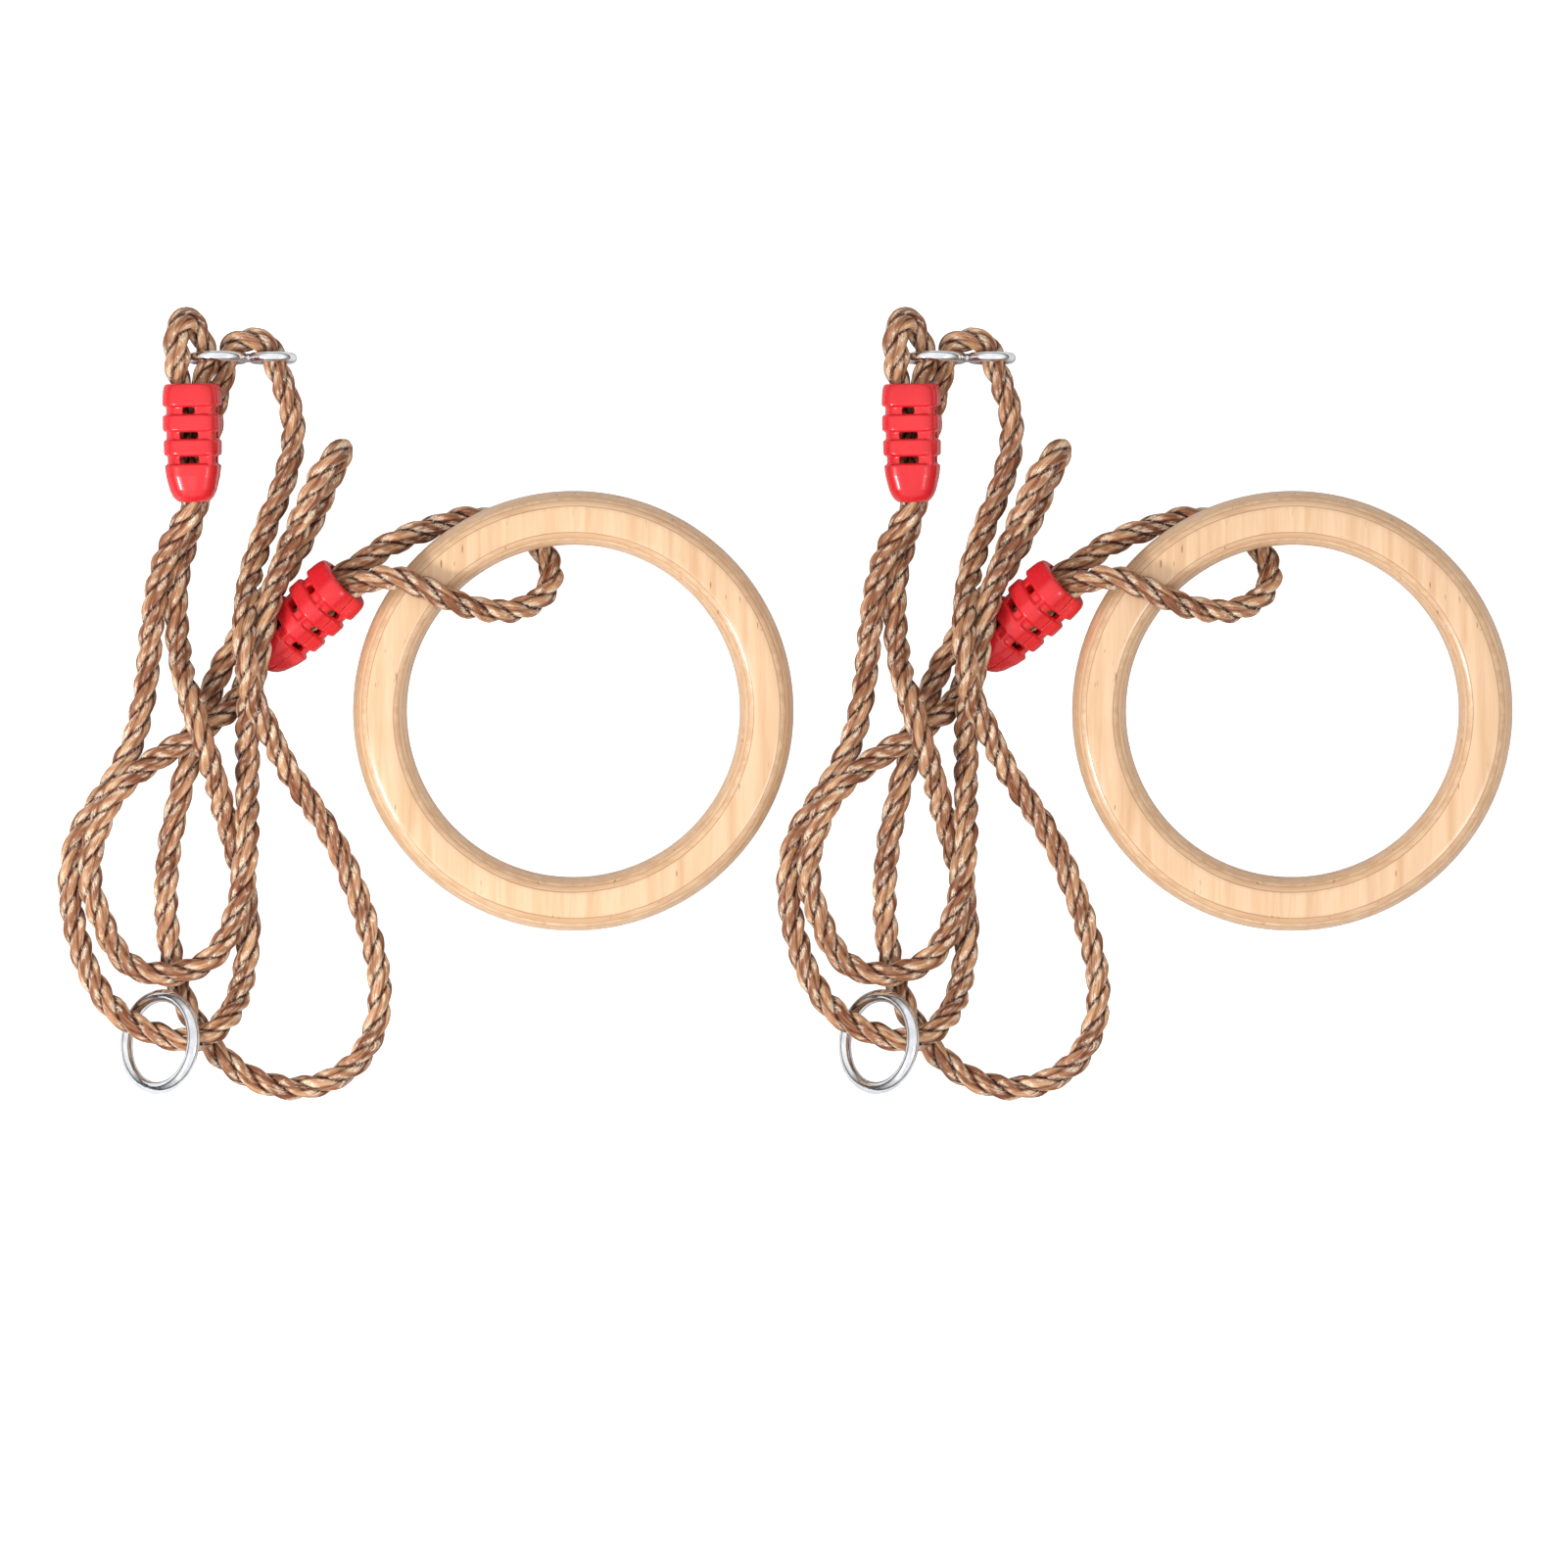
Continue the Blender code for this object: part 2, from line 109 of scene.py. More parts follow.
# steel rings
HANGING_RING_RADIUS = 19.0
HANGING_WIRE_RADIUS = 2.6
HANGING_RING_STEPS = 128
HANGING_RING_CENTRE = (-169.2, -135.4)
HANGING_RING_HEADING = -7.8
HANGING_RING_LEAN = 43.5
HANGING_WIRE_SIDES = 24
ADJUSTER_WIRE_RADIUS = 2.1
ADJUSTER_LARGE_RADIUS = 10.9
ADJUSTER_SMALL_RADIUS = 8.05
ADJUSTER_WAIST = (-133.1, 143.5)
ADJUSTER_LEAN = 5.0
ADJUSTER_RING_STEPS = 96
ADJUSTER_WIRE_SIDES = 20
ADJUSTER_WELD = 0.5
WELD_BEAD_OFFSET = 0.35
WELD_BEAD_RADII = (1.7, 1.5, 3.0)

# a clamp's place: middle of its wide end, middle of its small end, roll about its length
RING_CLAMP = ((-93.6, 52.9, 20.5), (-127.5, 21.8, 10.7), 45.0)
ADJUSTER_CLAMP = ((-156.1, 133.9, 21.0), (-155.3, 85.4, 20.8), 8.0)

# a clamp's shape, by the distance from its wide end: (distance, half width) outside, and
# (distance, half width, half height) inside
CLAMP_LENGTH = 48.5
CLAMP_CORNER = 7.0
CLAMP_CORNER_STEPS = 8
CLAMP_LEAST_STRAIGHT = 0.05
CLAMP_OUTSIDE = [
    (0.0, 10.2), (0.3, 10.6), (1.0, 10.95), (2.4, 11.3), (4.5, 11.5), (8.6, 11.65),
    (9.1, 11.3), (9.4, 10.3), (12.6, 10.3), (12.9, 11.3), (13.4, 11.6), (18.8, 11.6),
    (19.3, 11.25), (19.6, 10.3), (22.8, 10.3), (23.1, 11.1), (23.6, 11.4), (28.8, 11.3),
    (29.3, 10.95), (29.6, 10.0), (32.8, 10.0), (33.1, 10.8), (33.6, 11.1), (38.0, 10.6),
    (43.5, 9.4), (46.0, 8.4), (47.6, 7.2), (48.5, 5.8),
]
CLAMP_CAVITY = [
    (-1.0, 9.8, 7.0), (0.5, 9.5, 6.5), (7.0, 9.0, 4.8), (31.0, 9.0, 4.8), (42.0, 5.6, 4.8),
    (45.0, 4.8, 4.8), (48.0, 4.9, 4.9), (49.5, 5.2, 5.2),
]

# a clamp's windows, one (distance, width) for each groove's face, and its corner bars
CLAMP_WINDOWS = [(11.0, 5.0), (21.2, 7.5), (31.2, 8.0)]
WINDOW_HEIGHT = 2.7
WINDOW_DEPTH = 30
SIDE_WINDOW_PLACE = (12, 1.4)
SIDE_WINDOW_SIZE = (10, 4.0, 2.3)
CORNER_BAR_PLACE = (8.2, 8.2, 21)
CORNER_BAR_SIZE = (2.2, 2.2, 24)

# what parts a clamp's two shells, and how its moulded edges are rounded
SHELL_HALF_GAP = 0.13
SHELL_CUTTER = (60, 60, 80)
SHELL_VOXEL = 0.34
SHELL_SOFTENING = 0.5
SHELL_SOFTENING_TURNS = 5

# colours, from 0 to 255; a list of them gives each one's place on a ramp
ROPE_TONES = [
    (0.36, (92, 46, 26)), (0.46, (142, 86, 56)), (0.56, (178, 124, 88)), (0.66, (222, 172, 130)),
]
# painted sheen highlight on the rope's yarns
ROPE_PAINTED_SHEEN = (250, 222, 186)
# painted shade in the grooves between strands
ROPE_GROOVE_SHADE = (66, 18, 3)
# painted shade in the seams between yarns
ROPE_SEAM_SHADE = (66, 26, 10)
# painted glints on single filaments
ROPE_PAINTED_GLINT = (255, 244, 224)
FACE_VENEER = [(0.30, (208, 164, 122)), (0.45, (218, 178, 138)), (0.62, (227, 191, 153))]
FACE_FIGURE = (196, 148, 104)
CROSS_PLY = [(0.30, (202, 158, 118)), (0.5, (212, 172, 133)), (0.66, (222, 186, 148))]
GLUE_LINE = (146, 100, 64)
WOOD_FLECK = (140, 92, 60)
RED_PLASTIC = [(0.3, (206, 22, 32)), (0.7, (224, 40, 48))]
BRIGHT_STEEL = [(0.3, (226, 228, 232)), (0.7, (250, 251, 253))]
FLOOR_PAPER = [(0.3, (196, 196, 196)), (0.7, (204, 204, 204))]

# surface relief: depth in metres, and strength
ROPE_RELIEF = (0.0009, 0.9)
WOOD_RELIEF = (0.00012, 0.5)
PLASTIC_RELIEF = (0.00012, 0.3)
STEEL_RELIEF = (0.00025, 0.4)

# studio: sizes and places in metres, power in watts
CAMERA_AIM = (-0.0609, -0.0299, 0.016)
CAMERA_VIEW_WIDTH = 0.6418
CAMERA_LENS = 1000.0
CAMERA_SENSOR = 36.0
CAMERA_REACH = 100.0
LIGHT_AIM = (-0.06, -0.03, 0)
LIGHTS = [("key", (-1.0, -0.5, 0.9), 0.25, 12.0), ("fill", (0.8, -0.5, 1.1), 0.3, 3.0)]
SKY_AT_HORIZON = 0.03
SKY_OVERHEAD = 1.0
SKY_RISE = (0.05, 0.5)
FLOOR_GLOW = 1.0
FLOOR_SIZE = (9000, 9000, 2)

# the rope's route: points round a set's centre, or (clamp, distance from its wide end, across)
ROPE_ROUTE = [
    ("ring_eye_rope", [
        ("ring", 27, 4.35), ("ring", 14, 4.35), ("ring", 2, 4.35), (-83.6, 53.4, 28.8),
        (-73, 54.5, 35), (-61.5, 50.7, 36.8), (-50.5, 45.4, 35.2), (-36, 41.3, 28.5),
        (-22, 41.6, 22.5), (-12.6, 47, 17), (-8.8, 55.2, 11.5), (-11, 63, 6.6),
        (-17, 70, 4.9), (-28, 76.6, 4.9), (-41.5, 79, 4.9), (-58.5, 74.8, 7.5), (-74.5, 68.5, 11),
        (-86.6, 60.6, 14.8), ("ring", 3, -4.35), ("ring", 12, -4.35),
    ]),
    ("lower_rope", [
        ("ring", 20, -4.35), ("ring", 29, -4.2), ("ring", 36, -1.9), ("ring", 42, -0.2),
        ("ring", 48, 0), (-133.8, 12, 6.4), (-138.5, 3.5, 7), (-152.5, -8, 14.9),
        (-166.5, -17, 13.2), (-184, -30, 14.6), (-192, -42, 14.2), (-197, -57, 12.2),
        (-197.5, -72, 11.4), (-192.3, -87.6, 7.4), (-183.4, -102.5, 9), (-165, -107.7, 14.9),
        (-146.8, -99.8, 12.6), (-138.5, -84, 14), (-135, -70, 14.8), (-133.5, -53.5, 13.8),
        (-133.5, -35.5, 6.4), (-133.5, -18.5, 6.4), (-133.5, -3, 14), (-131.5, 9, 18),
        (-129, 22, 27.6), (-126.3, 35.5, 29), (-122, 51.5, 21.4), (-113.5, 73.5, 14),
        (-101, 100, 20.3), (-97, 105, 18.2), (-95.5, 107, 12.6), (-95.5, 104.5, 7),
        (-98.5, 98, 4.9), (-107, 78, 4.9), (-120.7, 53.5, 4.9), (-135, 32.5, 4.9),
        (-147, 11.5, 4.9), (-154.9, -12.5, 4.9), (-163.8, -45.5, 4.9), (-166.8, -80, 4.9),
        (-163.6, -105, 4.9), (-153, -131, 7.6), (-137.2, -147.2, 4.9),
        (-114.3, -154.4, 4.9), (-89.2, -144.1, 4.9), (-79.3, -116, 4.9), (-86.5, -81.3, 4.9),
        (-100.4, -49, 4.9), (-116.1, -25.3, 10.5), (-126.8, -3.5, 22.5), (-132.3, 9, 29.6),
        (-133.5, 18.5, 36), (-134.5, 26.5, 37.3), (-134.3, 37.5, 32), (-132.8, 52, 18.6),
        (-127.4, 71, 7.5), (-119.2, 92, 4.9), (-114.7, 114.5, 4.9), (-117.8, 131, 8.8),
    ]),
    ("upper_rope", [
        (-121.8, 142, 12.8), (-125, 149.7, 13.6), (-132.5, 151.9, 14), (-139.5, 150.1, 13.2),
        (-141.7, 144.2, 11.7), (-143.1, 137, 7.9), (-145.6, 129, 5.1), (-149.2, 112, 4.9),
        (-155.3, 80.5, 4.9), (-162, 54.5, 4.9), (-161.5, 25, 6.4), (-158, 9, 17.2),
        (-153, -7.5, 24.7), (-148.5, -21.5, 19), (-143.5, -39.5, 7), (-137.5, -60.5, 4.9),
        (-133, -88, 4.9), (-135, -108, 7), (-141.5, -125.5, 16.8), (-154.5, -134.5, 20.9),
        (-169.5, -132.5, 16.6), (-183.5, -126, 11), (-195.5, -112.5, 5.4), (-203.8, -90, 4.9),
        (-206.3, -68, 4.9), (-201, -48, 4.9), (-191.5, -33.5, 4.9), (-180.8, -13.5, 4.9),
        (-175, 11.5, 4.9), (-172, 40.5, 7.6), (-166.4, 64.5, 12.8), (-160, 76.5, 18.6),
        ("adjuster", 48, -0.2), ("adjuster", 42, -0.2), ("adjuster", 36, -1.9),
        ("adjuster", 29, -4.2), ("adjuster", 20, -4.35), ("adjuster", 12, -4.35),
    ]),
    ("adjuster_eye_rope", [
        ("adjuster", 3, -4.35), (-162, 139.5, 21), (-162.2, 150, 21.8), (-161.8, 156, 21.2),
        (-159, 159.6, 19.8), (-155.9, 158.9, 17.2), (-152.7, 153.4, 14.6), (-149.6, 144.5, 14.6),
        (-150.9, 138, 18.4), ("adjuster", 1, 4.35), ("adjuster", 13, 4.35),
        ("adjuster", 27, 4.35),
    ]),
]


def set_centre(side):
    """Return the floor point under the middle of a set's wooden ring."""
    low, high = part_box(f"{side}_wooden_ring")
    return Vector(((low[0] + high[0]) / 2, (low[1] + high[1]) / 2, 0))


CENTRES = {side: set_centre(side) for side in SIDES}


# ---------------------------------------------------------------- nodes for materials


class Nodes:
    """A short way to wire up one material's nodes."""

    def __init__(self, name):
        self.material = bpy.data.materials.new(name)
        self.material.use_nodes = True
        self.tree = self.material.node_tree
        self.shader = self.tree.nodes["Principled BSDF"]

    def link(self, source, target):
        """Link one socket to another."""
        self.tree.links.new(source, target)

    def put(self, target, value):
        """Feed a socket from another socket or with a constant."""
        if isinstance(value, bpy.types.NodeSocket):
            self.link(value, target)
        else:
            target.default_value = value

    def node(self, kind, **settings):
        """Return a new node with some of its settings."""
        made = self.tree.nodes.new(kind)
        for key, value in settings.items():
            setattr(made, key, value)
        return made

    def math(self, operation, a, b=0.0):
        """Return the result of one sum on one or two values."""
        made = self.node("ShaderNodeMath", operation=operation)
        self.put(made.inputs[0], a)
        self.put(made.inputs[1], b)
        return made.outputs[0]

    def product(self, first, *others):
        """Return several values multiplied together."""
        for other in others:
            first = self.math("MULTIPLY", first, other)
        return first

    def blend(self, *parts):
        """Return the sum of (value, weight) parts."""
        total, *others = [self.product(*part) for part in parts]
        for other in others:
            total = self.math("ADD", total, other)
        return total

    def remap(self, value, low, high, to_low=0.0, to_high=1.0, smooth=False):
        """Stretch the range low to high onto another range, and clamp what is outside."""
        made = self.node("ShaderNodeMapRange", clamp=True)
        if smooth:
            made.interpolation_type = "SMOOTHSTEP"
        for socket, number in zip(made.inputs, (value, low, high, to_low, to_high)):
            self.put(socket, number)
        return made.outputs[0]

    def split(self, vector):
        """Return a vector's three parts."""
        made = self.node("ShaderNodeSeparateXYZ")
        self.link(vector, made.inputs[0])
        return made.outputs

    def noise(self, place, scale, detail=2.0, roughness=0.5, distortion=0.0, offset=(0, 0, 0)):
        """Return noise that is stretched differently along each axis."""
        scaled = self.node("ShaderNodeVectorMath", operation="MULTIPLY_ADD")
        self.put(scaled.inputs[0], place)
        scaled.inputs[1].default_value = scale
        scaled.inputs[2].default_value = offset
        made = self.node("ShaderNodeTexNoise")
        self.put(made.inputs["Vector"], scaled.outputs[0])
        made.inputs["Scale"].default_value = 1.0
        made.inputs["Detail"].default_value = detail
        made.inputs["Roughness"].default_value = roughness
        made.inputs["Distortion"].default_value = distortion
        return made.outputs["Fac"]

    def mix(self, factor, a, b):
        """Return colour a where the factor is 0 and colour b where it is 1."""
        made = self.node("ShaderNodeMix", data_type="RGBA")
        self.put(made.inputs[0], factor)
        for socket, value in ((made.inputs[6], a), (made.inputs[7], b)):
            self.put(socket, value)
        return made.outputs[2]

    def ramp(self, factor, stops):
        """Return a colour ramp's colour for the factor."""
        made = self.node("ShaderNodeValToRGB")
        elements = made.color_ramp.elements
        while len(elements) < len(stops):
            elements.new(0.5)
        for element, (place, colour) in zip(elements, stops):
            element.position = place
            element.color = rgb(colour)
        self.put(made.inputs[0], factor)
        return made.outputs[0]

    def attribute(self, name):
        """Return the node that reads one of the mesh's attributes."""
        return self.node("ShaderNodeAttribute", attribute_name=name)

    def place(self):
        """Return the place on the object, in metres."""
        return self.node("ShaderNodeTexCoord").outputs["Object"]

    def bump(self, height, depth, strength):
        """Return normals that stand for a relief."""
        made = self.node("ShaderNodeBump")
        made.inputs["Strength"].default_value = strength
        made.inputs["Distance"].default_value = depth
        self.put(made.inputs["Height"], height)
        return made.outputs[0]

    def set(self, **values):
        """Feed the shader's sockets, named with _ for each space."""
        for name, value in values.items():
            self.put(self.shader.inputs[name.replace("_", " ")], value)


def rgb(colour):
    """Return a linear colour from an everyday 0 to 255 colour."""
    def linear(value):
        value /= 255
        return value / 12.92 if value <= 0.04045 else ((value + 0.055) / 1.055) ** 2.4
    return (*[linear(value) for value in colour], 1.0)


def rope_material():
    """Glossy brown filament rope with tucked yarns: painted shade in the grooves between strands
    and the seams between yarns, and a painted sheen and painted glints.
    """
    nodes = Nodes("rope_filament")
    fibre = nodes.attribute("fibre").outputs["Vector"]
    crest = nodes.attribute("crest").outputs["Fac"]
    across, yarn, chance = nodes.split(nodes.attribute("petal").outputs["Vector"])
    filaments = nodes.noise(fibre, (2.6, 2.6, 0.16), detail=4.0, roughness=0.6)
    bundles = nodes.noise(fibre, (0.9, 0.9, 0.10), offset=(7, 3, 1))
    patches = nodes.noise(fibre, (0.30, 0.30, 0.16), offset=(2, 9, 4))
    glint_noise = nodes.noise(fibre, (3.4, 3.4, 0.9), detail=1.0, offset=(4, 8, 2))
    # tone varies at random with filaments, bundles and yarns; the yarn term also lightens each
    # yarn's middle, painted shade towards its seams
    tone = nodes.blend((filaments, 0.45), (bundles, 0.30), (chance, 0.16), (yarn, 0.09))
    colour = nodes.ramp(tone, ROPE_TONES)
    # a painted sheen highlight towards both ends of each yarn, broken up by patches and filaments
    ends = nodes.math("ABSOLUTE", nodes.math("SUBTRACT", across, 0.5))
    painted_sheen = nodes.product(
        nodes.remap(ends, 0.08, 0.28, smooth=True),
        nodes.remap(ends, 0.38, 0.45, 1.0, 0.0, smooth=True),
        nodes.remap(yarn, 0.35, 0.85, smooth=True),
        nodes.remap(patches, 0.40, 0.56),
        nodes.remap(filaments, 0.38, 0.54),
    )
    colour = nodes.mix(nodes.product(painted_sheen, 0.75), colour, rgb(ROPE_PAINTED_SHEEN))
    # painted shade in the grooves between strands and in the seams between yarns, deepest near the
    # grooves; 1 is clear of it
    clear_of_groove_shade = nodes.remap(nodes.product(crest, nodes.math("ADD", yarn, 0.25)),
                         0.05, 0.30, smooth=True)
    bridged = nodes.remap(bundles, 0.50, 0.66, 0.0, 0.45)
    colour = nodes.mix(nodes.math("MAXIMUM", clear_of_groove_shade, bridged), rgb(ROPE_GROOVE_SHADE), colour)
    clear_of_seam_shade = nodes.remap(yarn, 0.12, 0.60, smooth=True)
    clear_of_seam_shade = nodes.math("MAXIMUM", clear_of_seam_shade, nodes.remap(bundles, 0.54, 0.76))
    clear_of_seam_shade = nodes.math("MAXIMUM", clear_of_seam_shade, nodes.remap(crest, 0.45, 0.95, 0.0, 0.7))
    colour = nodes.mix(clear_of_seam_shade, rgb(ROPE_SEAM_SHADE), colour)
    # painted glints: pale highlights on single filaments
    painted_glints = nodes.product(
        nodes.remap(glint_noise, 0.56, 0.64),
        nodes.remap(yarn, 0.40, 0.80, smooth=True),
        nodes.remap(ends, 0.05, 0.20),
        nodes.remap(patches, 0.42, 0.52),
    )
    colour = nodes.mix(painted_glints, colour, rgb(ROPE_PAINTED_GLINT))
    gloss = nodes.remap(filaments, 0.3, 0.7, 0.42, 0.20)
    dull = nodes.product(nodes.math("SUBTRACT", 1.0, clear_of_groove_shade), 0.4)
    relief = nodes.math("ADD", filaments, nodes.product(bundles, 0.8))
    nodes.set(Base_Color=colour, Roughness=nodes.math("ADD", gloss, dull),
              Specular_IOR_Level=0.32, Normal=nodes.bump(relief, *ROPE_RELIEF))
    return nodes.material


def wood_material():
    """Varnished birch plywood: a pale face veneer, then alternate plies and glue lines."""
    nodes = Nodes("birch_plywood")
    place = nodes.place()
    # which ply this is, counted up and down from the middle one, and where in it
    wander = nodes.math("SUBTRACT", nodes.noise(place, (14, 14, 4)), 0.5)
    height = nodes.math("ADD", nodes.split(place)[2], nodes.product(wander, PLY_WAVER * MM))
    level = nodes.math("DIVIDE", nodes.math("ABSOLUTE", height), PLY_THICKNESS * MM)
    level = nodes.math("ADD", level, 0.5)
    crossed = nodes.math("MODULO", nodes.math("FLOOR", level), 2.0)
    within = nodes.math("FRACT", level)
    along_y = nodes.noise(place, (230, 11, 300), detail=5.0, roughness=0.6, distortion=0.5)
    along_x = nodes.noise(place, (11, 230, 300), detail=5.0, roughness=0.6, distortion=0.5)
    figure = nodes.noise(place, (48, 5, 20), detail=3.0, roughness=0.6, distortion=1.6)
    flecks = nodes.noise(place, (700, 110, 500), detail=1.0, offset=(3, 1, 2))
    face = nodes.ramp(along_y, FACE_VENEER)
    face = nodes.mix(nodes.remap(figure, 0.50, 0.75, 0.0, 0.45), face, rgb(FACE_FIGURE))
    colour = nodes.mix(crossed, face, nodes.ramp(along_x, CROSS_PLY))
    edge = nodes.math("MINIMUM", within, nodes.math("SUBTRACT", 1.0, within))
    glue = nodes.remap(edge, 0.01, 0.09, smooth=True)
    colour = nodes.mix(nodes.math("ADD", nodes.product(glue, 0.75), 0.25),
                       rgb(GLUE_LINE), colour)
    colour = nodes.mix(nodes.remap(flecks, 0.74, 0.80, 0.0, 0.8), colour, rgb(WOOD_FLECK))
    relief = nodes.math("ADD", along_y, nodes.product(glue, 0.5))
    nodes.set(Base_Color=colour, Roughness=nodes.remap(along_y, 0.3, 0.7, 0.46, 0.34),
              Coat_Weight=0.5, Coat_Roughness=0.16, Normal=nodes.bump(relief, *WOOD_RELIEF))
    return nodes.material


def plastic_material():
    """Glossy red moulded plastic with faint flow marks."""
    nodes = Nodes("red_plastic_moulded")
    place = nodes.place()
    flow = nodes.noise(place, (70, 70, 26), detail=3.0)
    grain = nodes.noise(place, (420, 420, 420))
    nodes.set(Base_Color=nodes.ramp(flow, RED_PLASTIC),
              Roughness=nodes.remap(grain, 0.3, 0.7, 0.24, 0.30),
              Specular_IOR_Level=0.4, Coat_Weight=0.3, Coat_Roughness=0.05,
              Normal=nodes.bump(flow, *PLASTIC_RELIEF))
    return nodes.material


def steel_material():
    """Bright zinc-plated steel wire with slight mottling."""
    nodes = Nodes("bright_steel")
    place = nodes.place()
    mottle = nodes.noise(place, (240, 240, 240), detail=4.0)
    fine = nodes.noise(place, (1800, 1800, 1800))
    nodes.set(Base_Color=nodes.ramp(mottle, BRIGHT_STEEL), Metallic=1.0,
              Roughness=nodes.remap(fine, 0.3, 0.7, 0.06, 0.14),
              Normal=nodes.bump(mottle, *STEEL_RELIEF))
    return nodes.material


def floor_material():
    """Pale paper that glows for the camera, so it shows white and still shades the object."""
    nodes = Nodes("floor_paper")
    tooth = nodes.noise(nodes.place(), (700, 700, 700))
    seen = nodes.node("ShaderNodeLightPath").outputs["Is Camera Ray"]
    nodes.set(Base_Color=nodes.ramp(tooth, FLOOR_PAPER), Roughness=0.9,
              Emission_Strength=nodes.product(seen, FLOOR_GLOW),
              Emission_Color=(1, 1, 1, 1))
    return nodes.material


MATERIALS = {
    "rope": rope_material(),
    "plywood": wood_material(),
    "red_plastic": plastic_material(),
    "steel": steel_material(),
}


# ---------------------------------------------------------------- shapes


def mesh_from_arrays(name, points, faces):
    """Return a smooth-shaded mesh from points in metres and faces."""
    mesh = bpy.data.meshes.new(name)
    mesh.from_pydata(points, [], faces)
    mesh.validate()
    mesh.shade_smooth()
    return mesh


def skin(rows, sides, closed):
    """Return faces that join rows of points into a tube, closed on itself or capped."""
    faces = []
    for i in range(rows if closed else rows - 1):
        here = i * sides
        there = ((i + 1) % rows) * sides
        for j in range(sides):
            k = (j + 1) % sides
            faces.append((here + j, here + k, there + k, there + j))
    if not closed:
        faces.append(tuple(range(sides - 1, -1, -1)))
        faces.append(tuple(range((rows - 1) * sides, rows * sides)))
    return faces


def add_piece(name, mesh, side, body, slot, matrix, replaced):
    """Add a piece of one set that stands for CAD nodes and rides their body."""
    piece = bpy.data.objects.new(f"{side}_{name}", mesh)
    bpy.context.scene.collection.objects.link(piece)
    if not mesh.materials:
        mesh.materials.append(MATERIALS[slot])
    piece.matrix_world = Matrix.Translation(CENTRES[side]) @ matrix
    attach(piece, f"{side}_{body}")
    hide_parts(*[f"{side}_{node}" for node in replaced])
    return piece


def clamp_matrix(wide_end, small_end, roll):
    """Return a clamp's place from the middles of its ends and its roll."""
    start = Vector(wide_end)
    along = (Vector(small_end) - start).normalized()
    level = Vector((0, 0, 1)).cross(along).normalized()
    upright = along.cross(level)
    turn = Matrix((level, upright, along)).transposed().to_4x4()
    return Matrix.Translation(start * MM) @ turn @ Matrix.Rotation(math.radians(roll), 4, "Z")


# ---------------------------------------------------------------- rope


def route_point(point):
    """Return a route point in millimetres; one in a clamp follows that clamp."""
    if not isinstance(point[0], str):
        return Vector(point)
    clamp, distance, across = point
    ends = {"ring": RING_CLAMP, "adjuster": ADJUSTER_CLAMP}[clamp]
    return clamp_matrix(*ends) @ Vector((across * MM, 0, distance * MM)) / MM


def smooth_curve(route):
    """Return closely spaced points on the cubic spline through a route's points."""
    points = np.array(route, dtype=float)
    chords = np.linalg.norm(np.diff(points, axis=0), axis=1)
    knots = np.concatenate([[0.0], np.cumsum(chords ** ROPE_CURVE_EASE)])
    gaps = np.diff(knots)
    count = len(points)
    matrix = np.eye(count)
    wanted = np.zeros_like(points)
    for i in range(1, count - 1):
        matrix[i, i - 1:i + 2] = gaps[i - 1], 2 * (gaps[i - 1] + gaps[i]), gaps[i]
        slope_after = (points[i + 1] - points[i]) / gaps[i]
        slope_before = (points[i] - points[i - 1]) / gaps[i - 1]
        wanted[i] = 6 * (slope_after - slope_before)
    bends = np.linalg.solve(matrix, wanted)
    stretches = []
    for i in range(count - 1):
        steps = max(4, int(chords[i] / ROPE_CURVE_STEP))
        there = np.linspace(0, 1, steps, endpoint=False)[:, None]
        here = 1 - there
        curved = (here ** 3 - here) * bends[i] + (there ** 3 - there) * bends[i + 1]
        stretches.append(here * points[i] + there * points[i + 1] + gaps[i] ** 2 / 6 * curved)
    curve = np.vstack([*stretches, points[-1:]])
    curve[:, 2] = np.maximum(curve[:, 2], ROPE_FLOOR_HEIGHT)
    return curve


def lengths_along(points):
    """Return the distance along a line of points to each of them."""
    steps = np.linalg.norm(np.diff(points, axis=0), axis=1)
    return np.concatenate([[0.0], np.cumsum(steps)])


def evenly_spaced(points, step):
    """Return points at an even spacing along a line of points."""
    along = lengths_along(points)
    places = np.linspace(0, along[-1], int(along[-1] / step) + 1)
    return np.array([np.interp(places, along, points[:, k]) for k in range(3)]).T, places


def carried_normals(points):
    """Return two normals at each point, carried along the line without twisting."""
    tangents = np.gradient(points, axis=0)
    tangents /= np.linalg.norm(tangents, axis=1)[:, None]
    normal = np.cross(tangents[0], (0.0, 0.0, 1.0))
    normals = []
    for tangent in tangents:
        normal = normal - tangent * (normal @ tangent)
        normal = normal / np.linalg.norm(normal)
        normals.append(normal)
    normals = np.array(normals)
    return normals, np.cross(tangents, normals)


def strand_profile():
    """Return (angle, radius, crest, across) round the rope's three-lobed outline.

    Crest is 1 on the middle of a strand and 0 in the groove beside it, and across runs from
    1 to 0 over each strand.
    """
    ratio = math.sqrt(3) * STRAND_OFFSET / STRAND_RADIUS / 2
    reach = math.radians(60) + math.asin(ratio)
    outline = []
    for strand in range(3):
        for i in range(STRAND_STEPS):
            turn = reach * (2 * i / STRAND_STEPS - 1)
            x = STRAND_OFFSET + STRAND_RADIUS * math.cos(turn)
            y = STRAND_RADIUS * math.sin(turn)
            outline.append((math.atan2(y, x) + strand * 2 * math.pi / 3, math.hypot(x, y),
                            1 - abs(turn / reach), 0.5 - turn / reach / 2))
    return np.array(outline)


